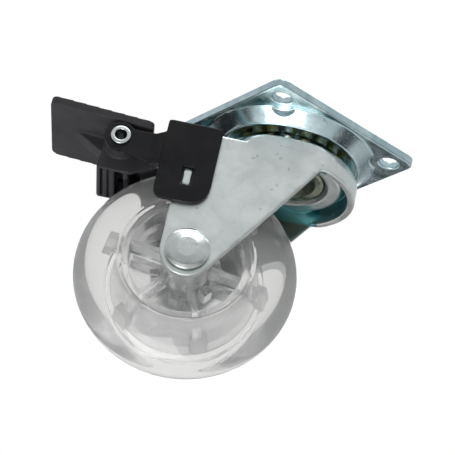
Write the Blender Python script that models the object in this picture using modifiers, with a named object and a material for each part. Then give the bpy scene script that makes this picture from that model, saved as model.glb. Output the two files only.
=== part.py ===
"""Swivel chair caster: pressed plate, ball-bearing fork, clear wheel and a rocking toe brake.

Frame: origin at the centre of the plate's mounting face, on the swivel axis, +Z up, X and Y along
the plate's edges. The fork's own frame is turned about Z: its +X is the way the wheel trails.
"""

import math

import bmesh
import bpy
from mathutils import Matrix

MM = 0.001

# Top plate, a square pressed sheet with a dished middle
PLATE_SIDE = 61.5 * MM
PLATE_THICKNESS = 2.9 * MM
PLATE_CORNER = 4.0 * MM
BOLT_PITCH = 48.5 * MM
BOLT_HOLE_RADIUS = 3.3 * MM
BOLT_PAD_RADIUS = 6.3 * MM
DISH_SHOULDER = 29.7 * MM
RIDGE_RADIUS = 24.4 * MM
RIDGE_Z = -7.3 * MM
DISH_FLOOR_Z = -7.6 * MM

# Swivel bearing
UPPER_RING = 16.9 * MM
UPPER_BALL = 2.5 * MM
UPPER_BALL_Z = -9.0 * MM
UPPER_BALLS = 18
LOWER_RING = 11.3 * MM
LOWER_BALL = 1.5 * MM
LOWER_BALL_Z = -12.1 * MM
LOWER_BALLS = 14
KINGPIN_RADIUS = 5.0 * MM
GAP = 0.3 * MM

# Fork
TRAIL_ANGLE = math.radians(144.1)
TRAIL = 25.4 * MM
AXLE_Z = -57.3 * MM
SHEET = 2.5 * MM
CROWN_RADIUS = 21.4 * MM
CROWN_TOP_Z = -9.7 * MM
SKIRT_RADIUS = 25.2 * MM
SKIRT_LIP_Z = -19.2 * MM
SKIRT_SHOULDER_Z = -14.2 * MM
LEG_HALF = 18.7 * MM
LEG_SPREAD = 0.058
LEG_TRAIL_X = 34.5 * MM
LEG_LEAD_X = -12.0 * MM
LEG_END_RADIUS = 9.1 * MM
SKIRT_BEND = 4.4 * MM
SIDE_BEND = 8.0 * MM
CROWN_BORE = 5.8 * MM
LUG = (29.4 * MM, -35.0 * MM, 32.4 * MM, -29.3 * MM)

# Wheel and axle
WHEEL_RADIUS = 37.5 * MM
TREAD_SEMI_WIDTH = 18.0 * MM
WHEEL_HALF = 14.2 * MM
RIM_RADIUS = 21.6 * MM
RIM_INNER = 19.2 * MM
BOSS_RADIUS = 8.0 * MM
SLEEVE_RADIUS = 5.6 * MM
AXLE_RADIUS = 4.0 * MM
AXLE_HEAD_RADIUS = 7.5 * MM
AXLE_SEAT = 0.9 * MM
SLEEVE_PLAY = 0.9 * MM
RIM_HALF = 12.0 * MM
WEB_HALF = 4.0 * MM
TYRE_STEP = 22.6 * MM
RIBS = 6
WINDOW_TURN = math.radians(-21.0)

# Brake
BRACKET_SHEET = 1.7 * MM
CHEEK = (22.4 * MM, -41.6 * MM, 41.0 * MM, -13.0 * MM)
SLOT = (29.0 * MM, -35.4 * MM, 32.8 * MM, -28.9 * MM)
EAR_HALF = 16.5 * MM
EAR_RADIUS = 5.4 * MM
PIVOT = (56.0 * MM, -20.3 * MM)
PIVOT_RADIUS = 2.5 * MM
PIVOT_BORE = 2.0 * MM
FLARE_RADIUS = 3.4 * MM
PEDAL_HALF = 18.0 * MM
PEDAL_THICKNESS = 2.8 * MM
PEDAL_INNER_X = 46.0 * MM
PEDAL_OUTER_X = 82.0 * MM
PEDAL_INNER_Z = -12.4 * MM
PEDAL_OUTER_Z = -10.0 * MM
BLOCK_HALF = 10.6 * MM
BLOCK_LOW_Z = -29.6 * MM
BOSS_BY_PIVOT = 4.6 * MM
BOSS_HALF = 15.7 * MM
TREAD_CLEARANCE = 2.8 * MM

ROUND = 48
TYRE_ROUND = 60
SMALL_ROUND = 24
MERGE = 0.00001


def collection(name):
    """A new collection in the scene."""
    group = bpy.data.collections.new(name)
    bpy.context.scene.collection.children.link(group)
    return group


def material(name, colour, roughness, metallic=0.0, transmission=0.0):
    """A Principled material."""
    made = bpy.data.materials.new(name)
    made.use_nodes = True
    shader = made.node_tree.nodes["Principled BSDF"]
    shader.inputs["Base Color"].default_value = (*colour, 1.0)
    shader.inputs["Roughness"].default_value = roughness
    shader.inputs["Metallic"].default_value = metallic
    shader.inputs["Transmission Weight"].default_value = transmission
    return made


def empty(name, parent=None, location=(0, 0, 0), turn=0.0):
    """An empty that carries a moving group."""
    made = bpy.data.objects.new(name, None)
    made.location = location
    made.rotation_euler = (0, 0, turn)
    made.parent = parent
    bpy.context.scene.collection.objects.link(made)
    return made


def place(name, mesh, parent, look):
    """An object from a mesh: a part when it has a material, a cutter when it has none."""
    made = bpy.data.objects.new(name, mesh)
    made.parent = parent
    if look is None:
        made.hide_render = True
        made.display_type = "WIRE"
        CUTTERS.objects.link(made)
    else:
        mesh.materials.append(look)
        PARTS.objects.link(made)
    return made


def turned(name, profile, parent=None, look=None, ring=False, steps=ROUND):
    """A turned piece: (radius, height) points down the outer side, spun about local Z."""
    mesh = bpy.data.meshes.new(name)
    edges = [(i, i + 1) for i in range(len(profile) - 1)]
    if ring:
        edges.append((len(profile) - 1, 0))
    mesh.from_pydata([(r, 0, z) for r, z in profile], edges, [])
    made = place(name, mesh, parent, look)
    screw = made.modifiers.new("Turn", "SCREW")
    screw.steps = steps
    screw.render_steps = steps
    screw.use_merge_vertices = True
    screw.merge_threshold = MERGE
    return made


def prism(name, outline, low, high, parent=None, look=None):
    """A flat outline in local X and Y, filled and extruded from low to high along local Z."""
    curve = bpy.data.curves.new(name, "CURVE")
    curve.dimensions = "2D"
    curve.fill_mode = "BOTH"
    curve.extrude = (high - low) / 2
    spline = curve.splines.new("POLY")
    spline.points.add(len(outline) - 1)
    for point, (x, y) in zip(spline.points, outline):
        point.co = (x, y, 0, 1)
    spline.use_cyclic_u = True
    guide = bpy.data.objects.new(name + "_outline", curve)
    bpy.context.scene.collection.objects.link(guide)
    bpy.context.view_layer.update()
    mesh = bpy.data.meshes.new_from_object(guide.evaluated_get(bpy.context.evaluated_depsgraph_get()))
    bpy.data.objects.remove(guide)
    mesh.name = name
    mesh.materials.clear()
    work = bmesh.new()
    work.from_mesh(mesh)
    bmesh.ops.remove_doubles(work, verts=work.verts, dist=MERGE)
    bmesh.ops.translate(work, verts=work.verts, vec=(0, 0, (high + low) / 2))
    bmesh.ops.recalc_face_normals(work, faces=work.faces)
    work.to_mesh(mesh)
    work.free()
    return place(name, mesh, parent, look)


def side_prism(name, outline, near, far, parent=None, look=None):
    """An outline in fork X and Z, extruded across the fork from Y = near to Y = far."""
    made = prism(name, outline, -far, -near, parent, look)
    made.data.transform(Matrix.Rotation(math.pi / 2, 4, "X"))
    return made


def across(piece, y=0.0):
    """Lays a turned piece's axis along the fork's Y."""
    piece.rotation_euler = (-math.pi / 2, 0, 0)
    piece.location.y = y
    return piece


def boolean(target, tool, operation):
    """One exact boolean between a part and a cutter."""
    made = target.modifiers.new(operation.title(), "BOOLEAN")
    made.operation = operation
    made.object = tool
    made.solver = "EXACT"


def cut(target, *tools):
    for tool in tools:
        boolean(target, tool, "DIFFERENCE")


def join(target, *tools):
    for tool in tools:
        boolean(target, tool, "UNION")


def arc(centre, radius, start, end, steps):
    """Points on an arc, angles in degrees, both ends included."""
    angles = [math.radians(start + (end - start) * i / steps) for i in range(steps + 1)]
    return [(centre[0] + radius * math.cos(a), centre[1] + radius * math.sin(a)) for a in angles]


def rounded(corners, steps=4):
    """A closed outline from (x, y, radius) corners, each rounded by its own radius."""
    outline = []
    for i, (x, y, radius) in enumerate(corners):
        before = corners[i - 1]
        after = corners[(i + 1) % len(corners)]
        if radius == 0:
            outline.append((x, y))
            continue
        a = math.atan2(before[1] - y, before[0] - x)
        b = math.atan2(after[1] - y, after[0] - x)
        half = abs((b - a + math.pi) % (2 * math.pi) - math.pi) / 2
        reach = radius / math.tan(half)
        start = (x + reach * math.cos(a), y + reach * math.sin(a))
        end = (x + reach * math.cos(b), y + reach * math.sin(b))
        for j in range(steps + 1):
            t = j / steps
            outline.append((
                (1 - t) ** 2 * start[0] + 2 * t * (1 - t) * x + t * t * end[0],
                (1 - t) ** 2 * start[1] + 2 * t * (1 - t) * y + t * t * end[1],
            ))
    return outline


def cylinder(name, radius, low, high, parent=None, look=None, steps=SMALL_ROUND):
    """A plain cylinder about local Z."""
    return turned(name, [(0, high), (radius, high), (radius, low), (0, low)], parent, look, steps=steps)


def box(name, low, high, parent=None):
    """A box cutter between two corners."""
    outline = [(low[0], low[1]), (high[0], low[1]), (high[0], high[1]), (low[0], high[1])]
    return prism(name, outline, low[2], high[2], parent)


def spread(piece, reference):
    """Scales Y with height, as the legs lean apart towards the crown; reference is the Y at the axle."""
    for vertex in piece.data.vertices:
        vertex.co.y *= 1 + LEG_SPREAD * (vertex.co.z - AXLE_Z) / reference


def lean(piece, side):
    """Shears a cheek so it lies along its leg; side is +1 or -1."""
    for vertex in piece.data.vertices:
        vertex.co.y += side * LEG_SPREAD * (vertex.co.z - AXLE_Z)


# ---------------------------------------------------------------- plate and swivel bearing


def make_top_plate(look):
    half = PLATE_SIDE / 2
    corners = [(-half, -half, PLATE_CORNER), (half, -half, PLATE_CORNER),
               (half, half, PLATE_CORNER), (-half, half, PLATE_CORNER)]
    plate = prism("top_plate", rounded(corners), -PLATE_THICKNESS, 0, look=look)
    groove = arc((UPPER_RING, UPPER_BALL_Z), UPPER_BALL + GAP, 90, 146, 3)
    below = [
        (0, -1.0 * MM), (29.0 * MM, -1.0 * MM), (DISH_SHOULDER, -2.4 * MM),
        (RIDGE_RADIUS + 0.6 * MM, RIDGE_Z + 0.4 * MM), (RIDGE_RADIUS, RIDGE_Z),
        (RIDGE_RADIUS - 0.8 * MM, RIDGE_Z), (21.8 * MM, -6.0 * MM),
        *groove, (14.2 * MM, DISH_FLOOR_Z), (0, DISH_FLOOR_Z),
    ]
    join(plate, turned("dish", below))
    for i in range(4):
        turn = math.radians(45 + 90 * i)
        x = BOLT_PITCH / math.sqrt(2) * math.cos(turn)
        y = BOLT_PITCH / math.sqrt(2) * math.sin(turn)
        pad = cylinder(f"bolt_pad_{i + 1}", BOLT_PAD_RADIUS, -9 * MM, -PLATE_THICKNESS - 0.02 * MM)
        hole = cylinder(f"bolt_hole_{i + 1}", BOLT_HOLE_RADIUS, -12 * MM, 3 * MM)
        pad.location = (x, y, 0)
        hole.location = (x, y, 0)
        cut(plate, pad, hole)
    recess = [
        (0, 2 * MM), (30.5 * MM, 2 * MM), (29.2 * MM, 0.1 * MM), (25.6 * MM, -3.9 * MM),
        (24.2 * MM, -4.2 * MM), (22.4 * MM, -3.2 * MM), (15.8 * MM, -3.3 * MM),
        (13.6 * MM, -4.8 * MM), (0, -4.8 * MM),
    ]
    cut(plate, turned("top_recess", recess))
    cut(plate, cylinder("plate_pin_hole", KINGPIN_RADIUS + GAP, -12 * MM, 3 * MM))


def make_kingpin(look):
    profile = [
        (0, -2.2 * MM), (4.0 * MM, -2.3 * MM), (8.0 * MM, -3.0 * MM), (9.0 * MM, -3.8 * MM),
        (9.0 * MM, -4.8 * MM + GAP), (KINGPIN_RADIUS, -4.8 * MM + GAP),
        (KINGPIN_RADIUS, -12.9 * MM - GAP), (7.2 * MM, -12.9 * MM - GAP), (7.4 * MM, -14.0 * MM),
        (6.2 * MM, -15.1 * MM), (3.0 * MM, -15.6 * MM), (0, -15.4 * MM),
    ]
    turned("kingpin", profile, look=look, steps=SMALL_ROUND)


def make_lower_race(look):
    profile = [
        (13.7 * MM, -12.4 * MM), (13.7 * MM, -14.3 * MM), (13.0 * MM, -14.9 * MM),
        (10.9 * MM, -14.8 * MM), (8.2 * MM, -12.9 * MM), (KINGPIN_RADIUS + GAP, -12.9 * MM),
        (KINGPIN_RADIUS + GAP, -11.7 * MM), (8.5 * MM, -11.7 * MM), (10.6 * MM, -13.9 * MM),
        (13.0 * MM, -13.9 * MM), (13.0 * MM, -12.4 * MM),
    ]
    turned("lower_race", profile, look=look, ring=True)


def make_balls(label, count, ring, radius, height, look):
    """A ring of balls, each its own object sharing one mesh."""
    mesh = bpy.data.meshes.new(label)
    work = bmesh.new()
    bmesh.ops.create_uvsphere(work, u_segments=8, v_segments=5, radius=radius)
    work.to_mesh(mesh)
    work.free()
    mesh.materials.append(look)
    for i in range(count):
        turn = 2 * math.pi * (i + 0.5) / count
        ball = bpy.data.objects.new(f"{label}_{i + 1:02d}", mesh)
        ball.location = (ring * math.cos(turn), ring * math.sin(turn), height)
        PARTS.objects.link(ball)


# ---------------------------------------------------------------- fork and axle


def crown_plan(radius, half):
    """Plan of the pressed fork: an arc in front, flat sides joined to it by wide bends, square behind."""
    bend = SIDE_BEND - (SKIRT_RADIUS - radius)
    bend_y = half - bend
    bend_x = -math.sqrt((radius - bend) ** 2 - bend_y ** 2)
    side = math.degrees(math.atan2(bend_y, -bend_x))
    front = arc((0, 0), radius, 180 - side, 180 + side, 14)
    near = arc((bend_x, -bend_y), bend, 180 + side, 270, 4)
    far = arc((bend_x, bend_y), bend, 90, 180 - side, 4)
    return [*far, *front[1:-1], *near, (60 * MM, -half), (60 * MM, half)]


def leg_shell(name, radius, half, low, high, parent, look=None):
    """The fork's outer or inner form: half is its half width at the axle, and it widens to the lip."""
    scale = half / (half + LEG_SPREAD * (SKIRT_LIP_Z - AXLE_Z))
    plan = [(x, y * scale) for x, y in crown_plan(radius, half / scale)]
    shell = prism(name, plan, low, high, parent, look)
    spread(shell, half)
    return shell


def leg_side():
    """Side view of the fork: lip, straight leading edge, round end about the axle, upright trailing edge."""
    run = (TRAIL - LEG_LEAD_X, AXLE_Z - SKIRT_LIP_Z)
    reach = math.hypot(*run)
    tangent = math.degrees(math.atan2(run[1], run[0]) + math.acos(LEG_END_RADIUS / reach)) + 180
    end = arc((TRAIL, AXLE_Z), LEG_END_RADIUS, tangent, 360, 10)
    return [(-40 * MM, 0), (-40 * MM, SKIRT_LIP_Z), (LEG_LEAD_X, SKIRT_LIP_Z), *end, (LEG_TRAIL_X, 0)]


def make_fork(swivel, look):
    fork = leg_shell("fork", SKIRT_RADIUS, LEG_HALF, -75 * MM, -6 * MM, swivel, look)
    hollow = leg_shell("fork_hollow", SKIRT_RADIUS - SHEET, LEG_HALF - SHEET, -80 * MM, -12.2 * MM, swivel)
    boolean(fork, side_prism("fork_side", leg_side(), -40 * MM, 40 * MM, swivel), "INTERSECT")

    # The bend from the crown down into the skirt
    shoulder = arc((SKIRT_RADIUS - SKIRT_BEND, SKIRT_SHOULDER_Z), SKIRT_BEND, 90, 0, 4)
    above = [(0, 5 * MM), (60 * MM, 5 * MM), (60 * MM, SKIRT_SHOULDER_Z), *reversed(shoulder), (0, shoulder[0][1])]
    cut(fork, turned("fork_above", above, swivel))
    cut(fork, hollow)
    cut(fork, cylinder("crown_seat", CROWN_RADIUS - 0.6 * MM, -13.2 * MM, 0, swivel, steps=ROUND))

    groove = arc((UPPER_RING, UPPER_BALL_Z), UPPER_BALL + GAP, 345, 192, 6)
    crown = [
        (19.9 * MM, CROWN_TOP_Z), (20.6 * MM, CROWN_TOP_Z - 0.2 * MM), (CROWN_RADIUS, CROWN_TOP_Z - 1.1 * MM),
        (CROWN_RADIUS, -13.6 * MM), (19.5 * MM, -15.5 * MM), (15.3 * MM, -15.5 * MM), (14.3 * MM, -14.2 * MM),
        (14.0 * MM, -10.3 * MM), (CROWN_BORE, -10.3 * MM), (CROWN_BORE, -8.2 * MM),
        (13.6 * MM, -8.2 * MM), *reversed(groove),
    ]
    join(fork, turned("crown", crown, swivel, ring=True))
    cut(fork, box("fork_back", (22.6 * MM, -17.6 * MM, -40 * MM), (50 * MM, 17.6 * MM, 0), swivel))
    hole = across(cylinder("axle_hole", AXLE_RADIUS + GAP, -40 * MM, 40 * MM, swivel))
    hole.location = (TRAIL, 0, AXLE_Z)
    cut(fork, hole)
    left, low, right, high = LUG
    outline = [(left, low), (right, low), (right, high), (left, high)]
    for side in (-1, 1):
        lug = side_prism("lug", outline, -1.6 * MM, 1.6 * MM, swivel)
        lean(lug, side)
        lug.location.y = side * (LEG_HALF + 0.1 * MM)
        join(fork, lug)


def make_axle(wheel_axis, look, sleeve_look):
    """The riveted axle with its two domed heads, and the spacer sleeve the hub runs on."""
    seat = LEG_HALF + AXLE_SEAT
    head = [(0, seat + 1.7 * MM), (3.5 * MM, seat + 1.5 * MM), (6.3 * MM, seat + 0.9 * MM),
            (AXLE_HEAD_RADIUS, seat + 0.2 * MM), (AXLE_HEAD_RADIUS, seat), (AXLE_RADIUS, seat)]
    mirror = [(r, -z) for r, z in reversed(head)]
    across(turned("axle_rivet", [*head, *mirror], wheel_axis, look, steps=SMALL_ROUND))
    end = LEG_HALF - SHEET - SLEEVE_PLAY
    bore = AXLE_RADIUS + GAP
    sleeve = [(SLEEVE_RADIUS, end), (SLEEVE_RADIUS, -end), (bore, -end), (bore, end)]
    across(turned("axle_sleeve", sleeve, wheel_axis, sleeve_look, ring=True, steps=SMALL_ROUND))


# ---------------------------------------------------------------- wheel


def tread_radius(y):
    """Radius of the domed tread at a distance from the wheel's middle."""
    return WHEEL_RADIUS * math.sqrt(1 - (y / TREAD_SEMI_WIDTH) ** 2)


def make_tyre(wheel_axis, look):
    """The tyre: a domed tread that runs out to a lip on each side, and a seat that fits round the rim."""
    inner = RIM_RADIUS + GAP
    seat_half = RIM_HALF + 0.4 * MM
    inset = WHEEL_HALF - 0.3 * MM
    crown = [(tread_radius(y), y) for y in (WHEEL_HALF * math.sin(math.radians(a)) for a in range(90, -91, -18))]
    profile = [
        (TYRE_STEP, -seat_half), (inner, -seat_half), (inner, seat_half), (TYRE_STEP, seat_half),
        (TYRE_STEP, inset), *crown, (TYRE_STEP, -inset),
    ]
    across(turned("tyre", profile, wheel_axis, look, ring=True, steps=TYRE_ROUND))


def make_hub(wheel_axis, look):
    """The core: a drum-shaped rim, a thin web with six square windows, and six ribs on each side."""
    bore = SLEEVE_RADIUS + GAP
    boss_end = LEG_HALF - SHEET - 1.5 * MM
    profile = [
        (RIM_RADIUS, RIM_HALF), (RIM_RADIUS, -RIM_HALF), (RIM_INNER, -RIM_HALF), (RIM_INNER, -WEB_HALF),
        (BOSS_RADIUS, -WEB_HALF), (BOSS_RADIUS, -boss_end), (bore, -boss_end), (bore, boss_end),
        (BOSS_RADIUS, boss_end), (BOSS_RADIUS, WEB_HALF), (RIM_INNER, WEB_HALF), (RIM_INNER, RIM_HALF),
    ]
    hub = across(turned("hub", profile, wheel_axis, look, ring=True))
    inside = BOSS_RADIUS - 1.0 * MM
    outside = RIM_INNER + 1.0 * MM
    window_plan = [(8.6 * MM, -1.6 * MM), (11.8 * MM, -1.6 * MM), (11.8 * MM, 1.6 * MM), (8.6 * MM, 1.6 * MM)]
    rib_plan = [(inside, -1.0 * MM), (outside, -1.0 * MM), (outside, 1.0 * MM), (inside, 1.0 * MM)]
    for i in range(RIBS):
        turn = -(WINDOW_TURN + 2 * math.pi * i / RIBS)
        window = prism(f"window_{i + 1}", window_plan, -10 * MM, 10 * MM, wheel_axis)
        window.data.transform(Matrix.Rotation(turn, 4, "Z"))
        cut(hub, across(window))
        rib = prism(f"rib_{i + 1}", rib_plan, -10.5 * MM, 10.5 * MM, wheel_axis)
        rib.data.transform(Matrix.Rotation(turn - math.pi / RIBS, 4, "Z"))
        join(hub, across(rib))


# ---------------------------------------------------------------- brake


def make_bracket(swivel, look):
    """A black pressed bracket: two cheeks on the legs, a web between them and two ears."""
    left, low, right, high = CHEEK
    cheek = rounded([(left, low, 8 * MM), (right, low, 3.5 * MM), (right, high, 1.2 * MM), (left, high, 1.0 * MM)], 5)
    face = LEG_HALF + GAP
    beyond = 25 * MM
    bracket = side_prism("brake_bracket", cheek, face, face + BRACKET_SHEET, swivel, look)
    lean(bracket, 1)
    other = side_prism("far_cheek", cheek, -face - BRACKET_SHEET, -face, swivel)
    lean(other, -1)

    # The web and the two necks are one strip, bent in plan, so they meet each cheek and each ear
    inner = EAR_HALF
    outer = EAR_HALF + BRACKET_SHEET
    cheek_y = face + LEG_SPREAD * (-20 * MM - AXLE_Z) + BRACKET_SHEET
    near = [
        (38.9 * MM, cheek_y - 0.4 * MM), (39.6 * MM, cheek_y), (44.6 * MM, outer), (64 * MM, outer),
        (64 * MM, inner), (44.0 * MM, inner), (41.2 * MM, inner + 1.2 * MM), (40.6 * MM, inner - 0.4 * MM),
    ]
    far = [(x, -y) for x, y in reversed(near)]
    strip = prism("bracket_strip", [*near, *far], -60 * MM, 0, swivel)
    px, pz = PIVOT
    ear = [
        (36 * MM, -16.6 * MM), (38.6 * MM, -16.6 * MM), (52.0 * MM, -16.8 * MM),
        *arc((px, pz), EAR_RADIUS, 110, -110, 12),
        (46.5 * MM, -27.5 * MM), (41.2 * MM, -29.0 * MM), (36 * MM, -29.0 * MM),
    ]
    boolean(strip, side_prism("ear_side", ear, -beyond, beyond, swivel), "INTERSECT")
    gap_half = inner - 0.2 * MM
    cut(strip, box("web_gap", (30 * MM, -gap_half, -40 * MM), (42.6 * MM, gap_half, -20.6 * MM), swivel))
    join(bracket, strip, other)
    left, low, right, high = SLOT
    outline = [(left, low), (right, low), (right, high), (left, high)]
    cut(bracket, side_prism("lug_slots", outline, -beyond, beyond, swivel))
    hole = across(cylinder("pivot_hole", PIVOT_RADIUS + GAP, -30 * MM, 30 * MM, swivel))
    hole.location = (px, 0, pz)
    cut(bracket, hole)


def make_pivot(pedal_axis, look):
    """The tubular rivet the pedal rocks on, flared over the outside of both ears."""
    seat = EAR_HALF + BRACKET_SHEET + GAP
    end = seat + 0.7 * MM
    half = [(PIVOT_BORE, end), (FLARE_RADIUS, end - 0.1 * MM), (FLARE_RADIUS, seat), (PIVOT_RADIUS, seat)]
    mirror = [(r, -z) for r, z in reversed(half)]
    across(turned("pedal_pivot", [*half, *mirror], pedal_axis, look, ring=True, steps=SMALL_ROUND))


def pedal_top(x):
    """Height of the foot plate's top at a fork X."""
    slope = (PEDAL_OUTER_Z - PEDAL_INNER_Z) / (PEDAL_OUTER_X - PEDAL_INNER_X)
    return PEDAL_INNER_Z + slope * (x - PEDAL_INNER_X)


def make_pedal(swivel, look):
    """One moulding: the foot plate, a tapered gusset, the pivot boss and the block that bears on the tread."""
    px, pz = PIVOT
    outline = rounded([
        (PEDAL_INNER_X, -PEDAL_HALF, 2 * MM), (PEDAL_OUTER_X, -PEDAL_HALF, 3 * MM),
        (PEDAL_OUTER_X, PEDAL_HALF, 3 * MM), (PEDAL_INNER_X, PEDAL_HALF, 2 * MM)])
    pedal = prism("brake_pedal", outline, -PEDAL_THICKNESS, 0, swivel, look)
    for vertex in pedal.data.vertices:
        vertex.co.z += pedal_top(vertex.co.x)
    block = [
        (46.8 * MM, pedal_top(46.8 * MM) - 1.4 * MM), (44.6 * MM, -17.2 * MM), (42.8 * MM, -20.5 * MM),
        (43.6 * MM, -25.0 * MM), (50.5 * MM, BLOCK_LOW_Z), (61.7 * MM, BLOCK_LOW_Z), (62.4 * MM, -28.8 * MM),
        (61.6 * MM, -20.0 * MM), (63.0 * MM, pedal_top(63.0 * MM) - 1.4 * MM),
    ]
    join(pedal, side_prism("pedal_block", block, -BLOCK_HALF, BLOCK_HALF, swivel))
    boss = across(cylinder("pedal_boss", BOSS_BY_PIVOT, -BOSS_HALF, BOSS_HALF, swivel))
    boss.location = (px, 0, pz)
    join(pedal, boss)
    gusset = [
        (61.0 * MM, pedal_top(61.0 * MM) - 1.2 * MM), (61.3 * MM, -20.5 * MM),
        (75.5 * MM, pedal_top(75.5 * MM) - 1.6 * MM),
    ]
    join(pedal, side_prism("pedal_gusset", gusset, -3.0 * MM, 3.0 * MM, swivel))

    # The block's face is hollowed to the tread's own shape
    grow = 1 + TREAD_CLEARANCE / WHEEL_RADIUS
    sides = [TREAD_SEMI_WIDTH * math.sin(math.radians(a)) for a in range(80, -81, -10)]
    pole = TREAD_SEMI_WIDTH * grow
    tread = [(0, pole), *[(tread_radius(y) * grow, y * grow) for y in sides], (0, -pole)]
    clear = across(turned("tread_clearance", tread, swivel))
    clear.location = (TRAIL, 0, AXLE_Z)
    cut(pedal, clear)
    hole = across(cylinder("pedal_bore", PIVOT_RADIUS + GAP, -30 * MM, 30 * MM, swivel))
    hole.location = (px, 0, pz)
    cut(pedal, hole)


for old in list(bpy.data.objects):
    bpy.data.objects.remove(old)
PARTS = collection("caster")
CUTTERS = collection("cutters")

ZINC = (0.70, 0.72, 0.73)
zinc_plate = material("plate_zinc", ZINC, 0.35, 1.0)
zinc_fork = material("fork_zinc", ZINC, 0.38, 1.0)
steel = material("rivet_steel", (0.62, 0.62, 0.62), 0.3, 1.0)
race_steel = material("race_steel", (0.50, 0.53, 0.52), 0.35, 1.0)
ball_steel = material("ball_steel", (0.36, 0.34, 0.20), 0.25, 1.0)
clear_tyre = material("clear_tyre", (0.80, 0.86, 0.88), 0.06, 0.0, 0.9)
clear_hub = material("clear_hub", (0.84, 0.88, 0.89), 0.08, 0.0, 0.9)
black_steel = material("black_steel", (0.02, 0.02, 0.022), 0.4)
pedal_plastic = material("pedal_plastic", (0.035, 0.037, 0.042), 0.5)

swivel_axis = empty("swivel_axis", turn=TRAIL_ANGLE)
wheel_spin_axis = empty("wheel_spin_axis", swivel_axis, (TRAIL, 0, AXLE_Z))
pedal_pivot_axis = empty("pedal_pivot_axis", swivel_axis, (PIVOT[0], 0, PIVOT[1]))

make_top_plate(zinc_plate)
make_kingpin(steel)
make_lower_race(race_steel)
make_balls("upper_ball", UPPER_BALLS, UPPER_RING, UPPER_BALL, UPPER_BALL_Z, ball_steel)
make_balls("lower_ball", LOWER_BALLS, LOWER_RING, LOWER_BALL, LOWER_BALL_Z, ball_steel)
make_fork(swivel_axis, zinc_fork)
make_axle(wheel_spin_axis, steel, race_steel)
make_tyre(wheel_spin_axis, clear_tyre)
make_hub(wheel_spin_axis, clear_hub)
make_bracket(swivel_axis, black_steel)
make_pivot(pedal_pivot_axis, steel)
make_pedal(swivel_axis, pedal_plastic)
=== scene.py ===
"""Looks for the swivel caster with a toe brake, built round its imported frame.

Row frame in metres: origin at the centre of the plate's mounting face, on the swivel axis, +Z up.
The fork's own frame is turned about Z: its +X is the way the wheel trails, its +Y the axle's line.
"""

import math

import bmesh
import bpy
from mathutils import Matrix, Vector


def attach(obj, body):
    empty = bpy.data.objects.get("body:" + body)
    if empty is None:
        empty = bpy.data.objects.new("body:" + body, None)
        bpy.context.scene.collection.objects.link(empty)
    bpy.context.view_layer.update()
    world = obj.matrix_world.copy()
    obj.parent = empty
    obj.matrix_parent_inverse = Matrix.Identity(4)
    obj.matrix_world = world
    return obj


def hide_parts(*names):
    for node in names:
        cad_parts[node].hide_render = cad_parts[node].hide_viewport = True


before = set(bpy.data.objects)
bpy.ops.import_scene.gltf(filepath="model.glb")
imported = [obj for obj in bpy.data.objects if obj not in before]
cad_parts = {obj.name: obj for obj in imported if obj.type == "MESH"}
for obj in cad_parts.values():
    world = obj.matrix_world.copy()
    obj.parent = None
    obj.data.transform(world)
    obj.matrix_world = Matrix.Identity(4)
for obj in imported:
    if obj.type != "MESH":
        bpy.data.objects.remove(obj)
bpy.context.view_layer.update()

MM = 0.001
TRAIL_ANGLE = math.radians(144.1)
FORK = Matrix.Rotation(TRAIL_ANGLE, 4, "Z")

# Plate and bearing
PLATE_SIDE = 61.5 * MM
PLATE_THICKNESS = 2.9 * MM
PLATE_CORNER = 4.0 * MM
BOLT_PITCH = 48.5 * MM
BOLT_HOLE_RADIUS = 3.3 * MM
UPPER_RING = 16.9 * MM
UPPER_BALL = 2.5 * MM
UPPER_BALL_Z = -9.0 * MM
UPPER_BALLS = 18
LOWER_RING = 11.3 * MM
LOWER_BALL = 1.5 * MM
LOWER_BALL_Z = -12.1 * MM
LOWER_BALLS = 14
PIN = 5.0 * MM
GAP = 0.3 * MM

# Fork
TRAIL = 25.4 * MM
AXLE_Z = -57.3 * MM
SHEET = 2.5 * MM
SIDE_BEND = 8.0 * MM  # outer radius of the bend between the skirt and a leg, in plan
SKIRT_BEND = 4.4 * MM  # from the crown down into the skirt
CROWN_RADIUS = 21.4 * MM
SKIRT_RADIUS = 25.2 * MM
SKIRT_LIP_Z = -19.2 * MM
SKIRT_SHOULDER_Z = -14.2 * MM
LEG_HALF = 18.7 * MM
LEG_SPREAD = 0.058
LEG_TRAIL_X = 34.5 * MM
LEG_LEAD_X = -12.0 * MM
LEG_END_RADIUS = 9.1 * MM
BELOW_LEGS = -80 * MM

# Wheel and axle
WHEEL_RADIUS = 37.5 * MM
TREAD_SEMI_WIDTH = 18.0 * MM
WHEEL_HALF = 14.2 * MM
RIM_RADIUS = 21.6 * MM
RIM_INNER = 19.2 * MM
BOSS_RADIUS = 8.0 * MM
SLEEVE_RADIUS = 5.6 * MM
AXLE_RADIUS = 4.0 * MM
AXLE_HEAD_RADIUS = 7.5 * MM
HEAD_SEAT = 0.9 * MM  # how far outside the leg's half width at the axle a head sits
SLEEVE_PLAY = 0.9 * MM
RIM_HALF = 12.0 * MM
WEB_HALF = 4.0 * MM
TYRE_STEP = 22.6 * MM
TYRE_SEAT_HALF = 12.4 * MM
CONTACT = -0.05 * MM  # the tyre is moulded on to its core, so the two meet without an air gap
RIBS = 6
WINDOW_TURN = math.radians(-21.0)

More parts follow.
